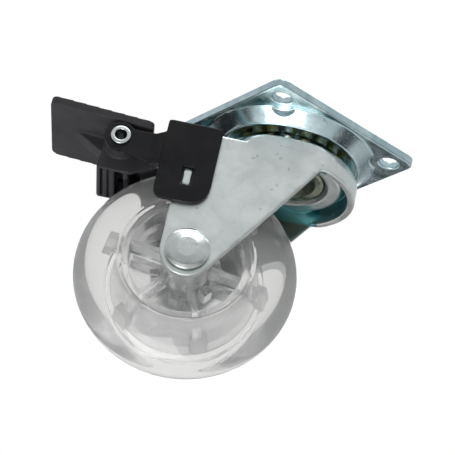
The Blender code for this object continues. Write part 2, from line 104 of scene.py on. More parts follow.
# Brake
BRACKET_SHEET = 1.7 * MM
CHEEK_LEFT, CHEEK_LOW, CHEEK_RIGHT, CHEEK_HIGH = 22.4 * MM, -41.6 * MM, 41.0 * MM, -13.0 * MM
EAR_HALF = 16.5 * MM
EAR_RADIUS = 5.4 * MM
PIVOT_X, PIVOT_Z = 56.0 * MM, -20.3 * MM
PIVOT_RADIUS = 2.5 * MM
PIVOT_BORE = 2.0 * MM
PEDAL_HALF = 18.0 * MM
PEDAL_THICKNESS = 2.8 * MM
PEDAL_INNER_X = 46.0 * MM
PEDAL_OUTER_X = 82.0 * MM
PEDAL_INNER_Z = -12.4 * MM
PEDAL_OUTER_Z = -10.0 * MM
BLOCK_HALF = 10.6 * MM
BLOCK_LOW_Z = -29.6 * MM
TREAD_CLEARANCE = 2.8 * MM

FINE = 160  # steps round a large turned piece
FAR = 90 * MM  # past every piece, for cutters
SMOOTH_EDGE = 35  # degrees: a sharper edge stays crisp in the clear mouldings
MILKY = 0.82  # share of light that goes through the clear plastics; the rest makes them milky
BALL_SHRINK = 0.985

FLOOR_Z = -0.60
FLOOR_REACH = 3.0
CARD_THICKNESS = 0.002
CARDS = (  # dark cards on the floor that the plate reflects: name, x, y, half width
    ("card_behind", 0.75, 1.05, 0.38),
    ("card_left", -0.56, 0.40, 0.18),
    ("card_right", 0.56, -0.34, 0.22),
)
AIM = Vector((0, 0, -0.03))
LAMPS = (  # name, place, aim, size, power in watts, seen through the clear plastics
    ("key", (-0.45, -0.55, 0.95), AIM, 0.6, 2.4, True),
    ("low", (-0.26, -0.14, -0.52), AIM, 0.36, 1.9, False),
    ("back", (0.5, 0.8, 0.3), AIM, 0.6, 2, False),
    ("sky", (0, 0, 1.5), Vector((0, 0, 0)), 2.0, 28, False),
)


# ---------------------------------------------------------------- mesh helpers


def mm(*points):
    """Points given in millimetres, in metres; a third number, a corner radius, is scaled too."""
    return [tuple(v * MM for v in p) for p in points]


def made(name, verts, faces):
    """A mesh object with its normals outwards."""
    mesh = bpy.data.meshes.new(name)
    mesh.from_pydata(verts, [], faces)
    work = bmesh.new()
    work.from_mesh(mesh)
    bmesh.ops.recalc_face_normals(work, faces=work.faces)
    work.to_mesh(mesh)
    work.free()
    piece = bpy.data.objects.new(name, mesh)
    bpy.context.scene.collection.objects.link(piece)
    return piece


def arc(cx, cz, radius, start, end, steps):
    """Points on an arc, angles in degrees, both ends included."""
    angles = [math.radians(start + (end - start) * i / steps) for i in range(steps + 1)]
    return [(cx + radius * math.cos(a), cz + radius * math.sin(a)) for a in angles]


def rounded(corners, steps=6, closed=True):
    """An outline from (x, y, radius) corners, each rounded by its own radius; 2-number corners stay sharp."""
    outline = []
    last = len(corners) - 1
    for i, corner in enumerate(corners):
        x, y = corner[0], corner[1]
        radius = corner[2] if len(corner) > 2 else 0
        if radius == 0 or (not closed and i in (0, last)):
            outline.append((x, y))
            continue
        before = corners[i - 1]
        after = corners[(i + 1) % len(corners)]
        a = math.atan2(before[1] - y, before[0] - x)
        b = math.atan2(after[1] - y, after[0] - x)
        half = abs((b - a + math.pi) % (2 * math.pi) - math.pi) / 2
        reach = radius / math.tan(half)
        start = (x + reach * math.cos(a), y + reach * math.sin(a))
        end = (x + reach * math.cos(b), y + reach * math.sin(b))
        for j in range(steps + 1):
            t = j / steps
            outline.append((
                (1 - t) ** 2 * start[0] + 2 * t * (1 - t) * x + t * t * end[0],
                (1 - t) ** 2 * start[1] + 2 * t * (1 - t) * y + t * t * end[1],
            ))
    return outline


def lathe(name, profile, steps=FINE, ring=False):
    """A piece turned about Z from (radius, height) points; an open profile starts and ends on the axis."""
    verts = []
    rows = []
    for r, z in profile:
        if r < 1e-9:
            rows.append([len(verts)] * steps)
            verts.append((0, 0, z))
        else:
            rows.append(list(range(len(verts), len(verts) + steps)))
            verts += [(r * math.cos(2 * math.pi * i / steps), r * math.sin(2 * math.pi * i / steps), z)
                      for i in range(steps)]
    pairs = list(zip(rows, rows[1:]))
    if ring:
        pairs.append((rows[-1], rows[0]))
    faces = []
    for a, b in pairs:
        for i in range(steps):
            j = (i + 1) % steps
            loop = [a[i], a[j], b[j], b[i]]
            face = [v for k, v in enumerate(loop) if v not in loop[:k]]
            if len(face) > 2:
                faces.append(face)
    return made(name, verts, faces)


def drill(name, radius, low=-12 * MM, high=3 * MM):
    """A round cutter on Z; the plate's thickness lies between its ends."""
    return lathe(name, [(0, low), (radius, low), (radius, high), (0, high)], 64)


def prism(name, outline, low, high):
    """An outline in X and Y, extruded from low to high along Z."""
    n = len(outline)
    verts = [(x, y, low) for x, y in outline] + [(x, y, high) for x, y in outline]
    faces = [list(range(n)), list(range(n, 2 * n))]
    faces += [[i, (i + 1) % n, n + (i + 1) % n, n + i] for i in range(n)]
    return made(name, verts, faces)


def side_prism(name, outline, near, far):
    """An outline in fork X and Z, extruded across the fork from Y = near to Y = far."""
    piece = prism(name, outline, -far, -near)
    return move(piece, Matrix.Rotation(math.pi / 2, 4, "X"))


def box(name, low, high):
    """A box cutter between two corners."""
    outline = [(low[0], low[1]), (high[0], low[1]), (high[0], high[1]), (low[0], high[1])]
    return prism(name, outline, low[2], high[2])


def move(piece, matrix):
    piece.data.transform(matrix)
    return piece


def across(piece, x=TRAIL, z=AXLE_Z):
    """Lays a turned piece's axis along the fork's Y, at a point in fork X and Z."""
    return move(piece, Matrix.Translation((x, 0, z)) @ Matrix.Rotation(-math.pi / 2, 4, "X"))


def settle(piece):
    """Applies a piece's modifiers."""
    graph = bpy.context.evaluated_depsgraph_get()
    graph.update()
    mesh = bpy.data.meshes.new_from_object(piece.evaluated_get(graph))
    piece.modifiers.clear()
    old = piece.data
    piece.data = mesh
    bpy.data.meshes.remove(old)
    mesh.name = piece.name
    return piece


def combine(target, operation, *tools):
    """Exact booleans with cutters, which are then removed."""
    for tool in tools:
        step = target.modifiers.new("Step", "BOOLEAN")
        step.operation = operation
        step.solver = "EXACT"
        step.object = tool
        settle(target)
        bpy.data.objects.remove(tool)
    return target


def cut(target, *tools):
    return combine(target, "DIFFERENCE", *tools)


def join(target, *tools):
    return combine(target, "UNION", *tools)


def soften(piece, voxel, rounds, factor=0.5):
    """Remeshes evenly and smooths, which rounds edges as pressing or moulding does."""
    remesh = piece.modifiers.new("Even", "REMESH")
    remesh.mode = "VOXEL"
    remesh.voxel_size = voxel
    smooth = piece.modifiers.new("Soft", "SMOOTH")
    smooth.factor = factor
    smooth.iterations = rounds
    return settle(piece)


def lean(piece, side):
    """Shears a piece so it lies along its leg; side is +1 or -1."""
    for vertex in piece.data.vertices:
        vertex.co.y += side * LEG_SPREAD * (vertex.co.z - AXLE_Z)
    return piece


def spread(piece, reference):
    """Scales Y with height, as the legs lean apart towards the crown."""
    for vertex in piece.data.vertices:
        vertex.co.y *= 1 + LEG_SPREAD * (vertex.co.z - AXLE_Z) / reference
    return piece


def finish_piece(piece, body, look, slot, *nodes):
    """Material, smooth shading, ride and the CAD nodes it stands for; the slot is not used."""
    piece.data.materials.clear()
    piece.data.materials.append(look)
    piece.data.polygons.foreach_set("use_smooth", [True] * len(piece.data.polygons))
    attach(piece, body)
    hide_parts(*nodes)
    return piece


# ---------------------------------------------------------------- materials


class Graph:
    """A Principled material and short ways to add nodes to it."""

    def __init__(self, name, colour, roughness, metallic=0.0, ior=1.5, transmission=0.0):
        self.material = bpy.data.materials.new(name)
        self.material.use_nodes = True
        self.tree = self.material.node_tree
        self.shader = self.tree.nodes["Principled BSDF"]
        self.shader.inputs["Base Color"].default_value = (*colour, 1.0)
        self.shader.inputs["Roughness"].default_value = roughness
        self.shader.inputs["Metallic"].default_value = metallic
        self.shader.inputs["IOR"].default_value = ior
        self.shader.inputs["Transmission Weight"].default_value = transmission
        self.place = self.tree.nodes.new("ShaderNodeTexCoord").outputs["Object"]

    def link(self, a, b):
        self.tree.links.new(a, b)

    def noise(self, scale, detail=4.0, stretch=(1, 1, 1), turn=(0, 0, 0), distortion=0.0):
        mapping = self.tree.nodes.new("ShaderNodeMapping")
        mapping.inputs["Scale"].default_value = stretch
        mapping.inputs["Rotation"].default_value = turn
        node = self.tree.nodes.new("ShaderNodeTexNoise")
        node.inputs["Scale"].default_value = scale
        node.inputs["Detail"].default_value = detail
        node.inputs["Distortion"].default_value = distortion
        self.link(self.place, mapping.inputs["Vector"])
        self.link(mapping.outputs["Vector"], node.inputs["Vector"])
        return node.outputs["Fac"]

    def ramp(self, source, *stops):
        node = self.tree.nodes.new("ShaderNodeValToRGB")
        points = node.color_ramp.elements
        while len(points) < len(stops):
            points.new(0.5)
        for point, (where, colour) in zip(points, stops):
            point.position = where
            point.color = (*colour, 1.0)
        self.link(source, node.inputs["Fac"])
        return node.outputs["Color"]

    def span(self, source, low, high, to_low, to_high):
        node = self.tree.nodes.new("ShaderNodeMapRange")
        for key, value in (("From Min", low), ("From Max", high), ("To Min", to_low), ("To Max", to_high)):
            node.inputs[key].default_value = value
        self.link(source, node.inputs["Value"])
        return node.outputs["Result"]

    def sum(self, a, b, operation="ADD"):
        node = self.tree.nodes.new("ShaderNodeMath")
        node.operation = operation
        self.link(a, node.inputs[0])
        if isinstance(b, (int, float)):
            node.inputs[1].default_value = b
        else:
            self.link(b, node.inputs[1])
        return node.outputs["Value"]

    def mix(self, factor, a, b, blend="MIX"):
        node = self.tree.nodes.new("ShaderNodeMix")
        node.data_type = "RGBA"
        node.blend_type = blend
        if isinstance(factor, (int, float)):
            node.inputs[0].default_value = factor
        else:
            self.link(factor, node.inputs[0])
        for key, value in ((6, a), (7, b)):
            if isinstance(value, tuple):
                node.inputs[key].default_value = (*value, 1.0)
            else:
                self.link(value, node.inputs[key])
        return node.outputs[2]

    def bump(self, height, distance, strength=1.0, under=None):
        node = self.tree.nodes.new("ShaderNodeBump")
        node.inputs["Distance"].default_value = distance
        node.inputs["Strength"].default_value = strength
        self.link(height, node.inputs["Height"])
        if under is not None:
            self.link(under, node.inputs["Normal"])
        return node.outputs["Normal"]

    def set(self, key, source):
        self.link(source, self.shader.inputs[key])
        return self


def plated(name, light, dark, rough, *stains_and_painted_shade):
    """Bright zinc plate: cloudy colour, fine grain, rolling marks and a few pits.

    Each stain and each painted shade is a mask and the colour that shows there.
    """
    g = Graph(name, light, rough, 1.0)
    cloud = g.noise(150, 5, distortion=0.6)
    grain = g.noise(1800, 3)
    drawn = g.noise(900, 4, (0.08, 1.0, 1.0), (0, 0.4, 0.9))
    pits = g.noise(420, 6)
    colour = g.ramp(cloud, (0.34, dark), (0.66, light))
    colour = g.mix(g.span(drawn, 0.35, 0.7, 0.0, 0.16), colour, tuple(0.78 * v for v in dark))
    colour = g.mix(g.span(pits, 0.67, 0.74, 0.0, 0.55), colour, tuple(0.38 * v for v in dark))
    for mask, stain_and_shade_colour in stains_and_painted_shade:
        colour = g.mix(mask(g), colour, stain_and_shade_colour)
    g.set("Base Color", colour)
    g.set("Roughness", g.sum(g.span(grain, 0.3, 0.7, rough - 0.05, rough + 0.05),
                             g.span(cloud, 0.3, 0.7, -0.04, 0.05)))
    g.set("Normal", g.bump(g.sum(drawn, grain), 0.00001, 0.2, g.bump(cloud, 0.0002, 0.10)))
    return g.material


def dark_part(name, light, dark, rough, grain_scale, depth):
    """Black paint or charcoal moulding: faint mottling, fine texture and scuffs."""
    g = Graph(name, light, rough)
    g.shader.inputs["Specular IOR Level"].default_value = 0.16
    cloud = g.noise(120, 4)
    grain = g.noise(grain_scale, 3)
    scuff = g.noise(520, 5, (0.12, 1.0, 1.0), (0.3, 0.2, 1.1))
    colour = g.ramp(cloud, (0.35, dark), (0.68, light))
    g.set("Base Color", g.mix(g.span(scuff, 0.62, 0.75, 0.0, 0.3), colour, tuple(1.9 * v for v in light)))
    g.set("Roughness", g.sum(g.span(grain, 0.3, 0.7, rough - 0.06, rough + 0.08),
                             g.span(scuff, 0.5, 0.75, 0.0, -0.08)))
    g.set("Normal", g.bump(grain, depth, 0.5, g.bump(cloud, 0.0002, 0.08)))
    return g.material


def clear(name, tint, ior, ripple, smoothest, roughest):
    """Clear, slightly milky plastic with faint flow marks; the roughness runs between two limits."""
    g = Graph(name, tint, 0.02, 0.0, ior, MILKY)
    flow = g.noise(70, 3, (1.0, 1.0, 1.0), distortion=0.8)
    streak = g.noise(260, 3, (1.0, 0.2, 1.0))
    g.set("Base Color", g.ramp(flow, (0.3, tuple(0.97 * v for v in tint)), (0.7, tint)))
    g.set("Roughness", g.span(streak, 0.35, 0.75, smoothest, roughest))
    g.set("Normal", g.bump(flow, ripple, 0.5, g.bump(streak, ripple * 0.1, 0.4)))
    return g.material


def fork_place(g):
    """X, Y and Z in the fork's own frame."""
    turned = g.tree.nodes.new("ShaderNodeMapping")
    turned.inputs["Rotation"].default_value = (0, 0, -TRAIL_ANGLE)
    split = g.tree.nodes.new("ShaderNodeSeparateXYZ")
    g.link(g.place, turned.inputs["Vector"])
    g.link(turned.outputs["Vector"], split.inputs["Vector"])
    return split.outputs


def from_leg(g, y, z):
    """Distance from the middle plane, less what the legs' lean adds at that height."""
    lean_here = g.sum(g.sum(z, -AXLE_Z), LEG_SPREAD, "MULTIPLY")
    return g.sum(g.sum(y, 0.0, "ABSOLUTE"), lean_here, "SUBTRACT")


def inner_face(g, x, y, z):
    """One on the legs' inner faces, behind the skirt's bend."""
    off = from_leg(g, y, z)
    outside = g.span(off, LEG_HALF - 1.0 * MM, LEG_HALF - 1.4 * MM, 0.0, 1.0)
    face = g.sum(outside, g.span(off, 15.3 * MM, 15.7 * MM, 0.0, 1.0), "MULTIPLY")
    return g.sum(face, g.span(x, -14.2 * MM, -13.4 * MM, 0.0, 1.0), "MULTIPLY")


def under_crown_tint_and_shade(g):
    """Blue passivation tint with painted shade: inside the skirt and the tops of the legs, darkened where
    shade falls under the crown.
    """
    x, y, z = fork_place(g)
    radius = g.sum(g.sum(g.sum(x, x, "MULTIPLY"), g.sum(y, y, "MULTIPLY")), 0.5, "POWER")
    inside = g.span(radius, 23.1 * MM, 22.7 * MM, 0.0, 1.0)
    between = g.span(from_leg(g, y, z), LEG_HALF - 1.0 * MM, LEG_HALF - 1.4 * MM, 0.0, 1.0)
    high = g.span(z, -18.9 * MM, -18.4 * MM, 0.0, 1.0)
    outer = g.span(radius, 19.6 * MM, 20.6 * MM, 0.0, 1.0)
    walls = g.sum(outer, g.sum(inside, between, "MULTIPLY"), "MULTIPLY")
    sides = g.sum(g.span(z, -20.5 * MM, -19.8 * MM, 0.0, 1.0), inner_face(g, x, y, z), "MULTIPLY")
    return g.sum(g.sum(g.sum(walls, high, "MULTIPLY"), sides, "MAXIMUM"), 0.9, "MULTIPLY")


def inner_leg_painted_shade(g):
    """The upper part of the legs' inner faces, darkened with painted shade."""
    x, y, z = fork_place(g)
    return g.sum(inner_face(g, x, y, z), g.span(z, -44 * MM, -30 * MM, 0.0, 0.92), "MULTIPLY")


def greasy(name):
    """Steel balls smeared with old olive grease."""
    g = Graph(name, (0.5, 0.5, 0.46), 0.25, 1.0)
    smear = g.noise(130, 5, distortion=1.0)
    fine = g.noise(900, 4)
    dirt = g.span(smear, 0.44, 0.56, 0.0, 1.0)
    tone = g.ramp(fine, (0.3, (0.04, 0.035, 0.012)), (0.6, (0.42, 0.38, 0.04)))
    g.set("Base Color", g.mix(dirt, (0.62, 0.60, 0.54), tone))
    g.set("Metallic", g.span(smear, 0.44, 0.56, 1.0, 0.0))
    g.set("Roughness", g.span(fine, 0.3, 0.7, 0.18, 0.5))
    g.set("Normal", g.bump(fine, 0.0002, 0.5))
    return g.material


def rough_steel(name, light, dark, rough, pits_at=0.58):
    """Worked steel: upset, dented and partly dark."""
    g = Graph(name, light, rough, 1.0)
    dents = g.noise(420, 4, distortion=0.4)
    grain = g.noise(1900, 3)
    g.set("Base Color", g.mix(g.span(dents, pits_at - 0.08, pits_at + 0.08, 0.0, 0.85),
                              g.ramp(grain, (0.3, tuple(0.8 * v for v in light)), (0.7, light)), dark))
    g.set("Roughness", g.span(grain, 0.3, 0.7, rough - 0.06, rough + 0.1))
    g.set("Normal", g.bump(grain, 0.00003, 0.4, g.bump(dents, 0.0004, 0.35)))
    return g.material


PLATE_LOOK = plated("plate_zinc_look", (0.62, 0.75, 0.78), (0.40, 0.54, 0.58), 0.21)
# The fork's two marks hold painted shade: dark upper inner faces of the legs, and a blue tint darkened with
# painted shade under the crown.
FORK_LOOK = plated("fork_zinc_look", (0.79, 0.82, 0.80), (0.69, 0.73, 0.71), 0.34,
                   (inner_leg_painted_shade, (0.10, 0.14, 0.13)), (under_crown_tint_and_shade, (0.12, 0.36, 0.39)))
HEAD_LOOK = plated("rivet_head_look", (0.72, 0.75, 0.74), (0.62, 0.65, 0.64), 0.22)
PIN_LOOK = rough_steel("riveted_end_look", (0.60, 0.58, 0.54), (0.05, 0.045, 0.04), 0.30, 0.48)
RACE_LOOK = plated("race_look", (0.58, 0.60, 0.48), (0.26, 0.29, 0.22), 0.32)
SLEEVE_LOOK = plated("sleeve_look", (0.70, 0.72, 0.72), (0.55, 0.57, 0.57), 0.30)
BALL_LOOK = greasy("greasy_balls_look")
BLACK_LOOK = dark_part("black_steel_look", (0.012, 0.012, 0.013), (0.007, 0.007, 0.008), 0.42, 1500, 0.00002)
PEDAL_LOOK = dark_part("pedal_plastic_look", (0.044, 0.042, 0.047), (0.034, 0.032, 0.037), 0.48, 1100,
                       0.00004)
TYRE_LOOK = clear("clear_tyre_look", (0.985, 0.985, 0.983), 1.40, 0.00003, 0.03, 0.08)
HUB_LOOK = clear("clear_hub_look", (0.975, 0.98, 0.98), 1.42, 0.00004, 0.16, 0.30)


# ---------------------------------------------------------------- plate and bearing


def build_plate():
    half = PLATE_SIDE / 2
    corners = [(sx * half, sy * half, PLATE_CORNER) for sx, sy in ((-1, -1), (1, -1), (1, 1), (-1, 1))]
    plate = prism("top_plate_skin", rounded(corners, 12), -PLATE_THICKNESS, 0)
    below = rounded(mm(
        (0, -1.0), (29.0, -1.0), (29.7, -2.4, 0.6), (25.0, -6.9, 1.2), (24.4, -7.3, 0.4), (23.6, -7.3, 0.4),
        (21.8, -6.0, 0.6)), 5, closed=False)
    groove = arc(UPPER_RING, UPPER_BALL_Z, UPPER_BALL + GAP, 60, 146, 14)
    join(plate, lathe("dish", [*below, *groove, (14.2 * MM, -7.6 * MM), (0, -7.6 * MM)]))
    for i in range(4):
        turn = math.radians(45 + 90 * i)
        spot = Matrix.Translation((BOLT_PITCH / math.sqrt(2) * math.cos(turn),
                                   BOLT_PITCH / math.sqrt(2) * math.sin(turn), 0))
        pad = lathe("pad", mm((0, -9), (8.0, -9), (7.4, -3.8), (7.1, -2.95), (0, -2.95)), 64)
        cut(plate, move(pad, spot), move(drill("hole", BOLT_HOLE_RADIUS), spot))
    recess = rounded(mm(
        (0, 2), (30.5, 2), (29.2, 0.1, 0.8), (25.6, -3.9, 0.8), (24.2, -4.2, 0.5), (22.4, -3.2, 0.8),
        (15.8, -3.3, 0.8), (13.6, -4.8, 0.8), (0, -4.8)), 5, closed=False)
    cut(plate, lathe("recess", recess))
    cut(plate, drill("pin_hole", PIN + GAP))
    soften(plate, 0.33 * MM, 5)
    finish_piece(plate, "plate", PLATE_LOOK, "plate_zinc", "top_plate")


def build_bearing():
    pin = rounded(mm(
        (0, -2.2), (4.0, -2.3, 1), (8.0, -3.0, 1), (9.0, -3.8, 0.5), (9.0, -4.5, 0.2), (5.0, -4.5, 0.1),
        (5.0, -13.2, 0.1), (7.2, -13.2, 0.2), (7.4, -14.0, 0.3), (6.2, -15.1, 0.5), (3.0, -15.6, 1.0),
        (0, -15.4)), 4, closed=False)
    finish_piece(lathe("kingpin_turned", pin, 128), "plate", PIN_LOOK, "rivet_steel", "kingpin")
    race = rounded(mm(
        (13.7, -12.4, 0.2), (13.7, -14.3, 0.3), (13.0, -14.9, 0.4), (10.9, -14.8, 0.6), (8.2, -12.9, 0.6),
        (5.3, -12.9, 0.1), (5.3, -11.7, 0.2), (8.5, -11.7, 0.5), (10.6, -13.9, 0.5), (13.0, -13.9, 0.2),
        (13.0, -12.4, 0.1)), 4)
    lower_race = lathe("lower_race_turned", race, 128, ring=True)
    finish_piece(lower_race, "plate", RACE_LOOK, "race_steel", "lower_race")
    for label, count, ring, radius, height in (
        ("upper_ball", UPPER_BALLS, UPPER_RING, UPPER_BALL, UPPER_BALL_Z),
        ("lower_ball", LOWER_BALLS, LOWER_RING, LOWER_BALL, LOWER_BALL_Z),
    ):
        work = bmesh.new()
        for i in range(count):
            turn = 2 * math.pi * (i + 0.5) / count
            spot = Matrix.Translation((ring * math.cos(turn), ring * math.sin(turn), height))
            bmesh.ops.create_icosphere(work, subdivisions=3, radius=radius * BALL_SHRINK, matrix=spot)
        mesh = bpy.data.meshes.new(label + "_set")
        work.to_mesh(mesh)
        work.free()
        balls = bpy.data.objects.new(label + "_set", mesh)
        bpy.context.scene.collection.objects.link(balls)
        names = [f"{label}_{i + 1:02d}" for i in range(count)]
        finish_piece(balls, label + "s", BALL_LOOK, "ball_steel", *names)


# ---------------------------------------------------------------- fork and axle


def crown_plan(radius, half):
    """Plan of the pressed fork: an arc in front, flat sides joined to it by wide bends, square behind."""
    bend = SIDE_BEND - (SKIRT_RADIUS - radius)
    bend_y = half - bend
    bend_x = -math.sqrt((radius - bend) ** 2 - bend_y ** 2)
    side = math.degrees(math.atan2(bend_y, -bend_x))
    front = arc(0, 0, radius, 180 - side, 180 + side, 60)
    near = arc(bend_x, -bend_y, bend, 180 + side, 270, 16)
    far = arc(bend_x, bend_y, bend, 90, 180 - side, 16)
    return [*far, *front[1:-1], *near, (60 * MM, -half), (60 * MM, half)]


def leg_shell(name, radius, half, top):
    """The fork's outer or inner form, narrowing from the crown to the axle."""
    scale = half / (half + LEG_SPREAD * (SKIRT_LIP_Z - AXLE_Z))
    plan = [(x, y * scale) for x, y in crown_plan(radius, half / scale)]
    return spread(prism(name, plan, BELOW_LEGS, top), half)


def build_fork():
    fork = leg_shell("fork_pressed", SKIRT_RADIUS, LEG_HALF, -6 * MM)
    run = (TRAIL - LEG_LEAD_X, AXLE_Z - SKIRT_LIP_Z)
    tangent = math.degrees(math.atan2(run[1], run[0]) + math.acos(LEG_END_RADIUS / math.hypot(*run))) + 180
    side = [(-40 * MM, 0), (-40 * MM, SKIRT_LIP_Z), (LEG_LEAD_X, SKIRT_LIP_Z),
            *arc(TRAIL, AXLE_Z, LEG_END_RADIUS, tangent, 360, 48), (LEG_TRAIL_X, 0)]
    combine(fork, "INTERSECT", side_prism("side", side, -40 * MM, 40 * MM))
    shoulder = arc(SKIRT_RADIUS - SKIRT_BEND, SKIRT_SHOULDER_Z, SKIRT_BEND, 90, 0, 12)
    above = [(0, 5 * MM), (60 * MM, 5 * MM), (60 * MM, SKIRT_SHOULDER_Z), *reversed(shoulder),
             (0, shoulder[0][1])]
    hollow = leg_shell("hollow", SKIRT_RADIUS - SHEET, LEG_HALF - SHEET, -12.2 * MM)
    cut(fork, lathe("above", above), hollow)
    seat = CROWN_RADIUS - 0.6 * MM
    cut(fork, lathe("seat", [(0, -13.2 * MM), (seat, -13.2 * MM), (seat, 0), (0, 0)]))
    groove = arc(UPPER_RING, UPPER_BALL_Z, UPPER_BALL + GAP, 345, 192, 18)
    crown = rounded(mm(
        (19.9, -9.7, 0.3), (20.6, -9.9, 0.3), (21.4, -10.8, 0.6), (21.4, -13.6, 0.8), (19.5, -15.5, 1.2),
        (15.3, -15.5, 0.8), (14.3, -14.2, 0.8), (14.0, -10.3, 0.8), (5.8, -10.3, 0.2), (5.8, -8.2, 0.4),
        (13.6, -8.2, 0.3)), 5)
    join(fork, lathe("crown", [*crown, *reversed(groove)], ring=True))
    cut(fork, box("back", (22.6 * MM, -17.6 * MM, -40 * MM), (50 * MM, 17.6 * MM, 0)))
    cut(fork, across(drill("bore", AXLE_RADIUS + GAP, -FAR, FAR)))
    for sign in (-1, 1):
        outline = rounded(mm((29.4, -35.0, 0.8), (32.4, -35.0, 0.8), (32.4, -29.3, 0.8), (29.4, -29.3, 0.8)))
        lug = side_prism("lug", outline, -1.6 * MM, 1.6 * MM)
        lean(lug, sign)
        join(fork, move(lug, Matrix.Translation((0, sign * (LEG_HALF - 0.7 * MM), 0))))
    soften(fork, 0.33 * MM, 7)
    finish_piece(move(fork, FORK), "fork", FORK_LOOK, "fork_zinc", "fork")


def build_axle():
    seat = LEG_HALF + HEAD_SEAT
    half = [(0, seat + 1.7 * MM), (3.5 * MM, seat + 1.55 * MM, 2 * MM),
            (6.3 * MM, seat + 0.95 * MM, 1.5 * MM), (AXLE_HEAD_RADIUS, seat + 0.3 * MM, 0.3 * MM),
            (AXLE_HEAD_RADIUS, seat - 0.4 * MM, 0.2 * MM),
            (AXLE_RADIUS, seat - 0.4 * MM)]
    profile = [*half, *[(p[0], -p[1], *p[2:]) for p in reversed(half)]]
    axle = across(lathe("axle_rivet_turned", rounded(profile, 6, closed=False), 128))
    finish_piece(move(axle, FORK), "fork", HEAD_LOOK, "rivet_steel", "axle_rivet")
    end = LEG_HALF - SHEET - SLEEVE_PLAY
    bore = AXLE_RADIUS + GAP
    sleeve = rounded([(SLEEVE_RADIUS, end, 0.3 * MM), (SLEEVE_RADIUS, -end, 0.3 * MM), (bore, -end, 0.1 * MM),
                      (bore, end, 0.1 * MM)])
    piece = across(lathe("axle_sleeve_turned", sleeve, 128, ring=True))
    finish_piece(move(piece, FORK), "fork", SLEEVE_LOOK, "race_steel", "axle_sleeve")


# ---------------------------------------------------------------- wheel


def tread_radius(y):
    """Radius of the domed tread at a distance from the wheel's middle."""
    return WHEEL_RADIUS * math.sqrt(1 - (y / TREAD_SEMI_WIDTH) ** 2)


def rib_angle(i):
    """Turn of rib i about the axle."""
    return -(WINDOW_TURN + 2 * math.pi * i / RIBS) - math.pi / RIBS


def t_lug(grow):
    """A T-shaped key on the rim, in the wheel's own frame, with X outwards."""
    stem, head = 1.5 * MM + grow, 2.8 * MM + grow
    root, neck, end = 20.4 * MM, 23.3 * MM - grow, 26.2 * MM + grow
    outline = [(root, -stem), (neck, -stem), (neck, -head), (end, -head),
               (end, head), (neck, head), (neck, stem), (root, stem)]
    reach = 3.6 * MM + grow
    return prism("t_lug", outline, -reach, reach)


def build_tyre():
    inner = RIM_RADIUS + CONTACT
    inset = WHEEL_HALF - 0.4 * MM
    places = [WHEEL_HALF * math.sin(math.radians(a)) for a in range(90, -91, -4)]
    crown = [(tread_radius(y), y) for y in places]
    step, seat = TYRE_STEP, TYRE_SEAT_HALF
    profile = rounded([
        (step, -seat, 0.3 * MM), (inner, -seat, 0.15 * MM), (inner, seat, 0.15 * MM), (step, seat, 0.3 * MM),
        (step, inset, 0.2 * MM), *crown, (step, -inset, 0.2 * MM)])
    tyre = lathe("tyre_clear", profile, 192, ring=True)
    for i in range(RIBS):
        cut(tyre, move(t_lug(CONTACT), Matrix.Rotation(rib_angle(i), 4, "Z")))
    finish_piece(move(across(tyre), FORK), "wheel", TYRE_LOOK, "clear_tyre", "tyre")
    by_angle(tyre, SMOOTH_EDGE)


def build_hub():
    bore = SLEEVE_RADIUS + GAP
    boss_end = LEG_HALF - SHEET - 1.5 * MM
    lip = 0.4 * MM
    profile = rounded([
        (RIM_RADIUS, RIM_HALF, lip), (RIM_RADIUS, -RIM_HALF, lip),
        (RIM_INNER, -RIM_HALF, lip), (RIM_INNER, -WEB_HALF, lip),
        (BOSS_RADIUS, -WEB_HALF, lip), (BOSS_RADIUS, -boss_end, lip),
        (bore, -boss_end, 0.2 * MM), (bore, boss_end, 0.2 * MM),
        (BOSS_RADIUS, boss_end, lip), (BOSS_RADIUS, WEB_HALF, lip),
        (RIM_INNER, WEB_HALF, lip), (RIM_INNER, RIM_HALF, lip)])
    hub = lathe("hub_clear", profile, 192, ring=True)
    for i in range(RIBS):
        turn = Matrix.Rotation(-(WINDOW_TURN + 2 * math.pi * i / RIBS), 4, "Z")
        window = prism("window", mm((8.6, -1.6), (11.8, -1.6), (11.8, 1.6), (8.6, 1.6)), -10 * MM, 10 * MM)
        cut(hub, move(window, turn))
        turn = Matrix.Rotation(rib_angle(i), 4, "Z")
        rib = prism("rib", mm((7.0, -1.0), (20.2, -1.0), (20.2, 1.0), (7.0, 1.0)), -10.5 * MM, 10.5 * MM)
        join(hub, move(rib, turn), move(t_lug(0), turn))
    finish_piece(move(across(hub), FORK), "wheel", HUB_LOOK, "clear_hub", "hub")
    by_angle(hub, SMOOTH_EDGE)


def by_angle(piece, degrees):
    """Breaks the smooth shading at edges sharper than the angle."""
    mesh = piece.data
    work = bmesh.new()
    work.from_mesh(mesh)
    for edge in work.edges:
        edge.smooth = edge.calc_face_angle(0.0) < math.radians(degrees)
    work.to_mesh(mesh)
    work.free()


# ---------------------------------------------------------------- brake


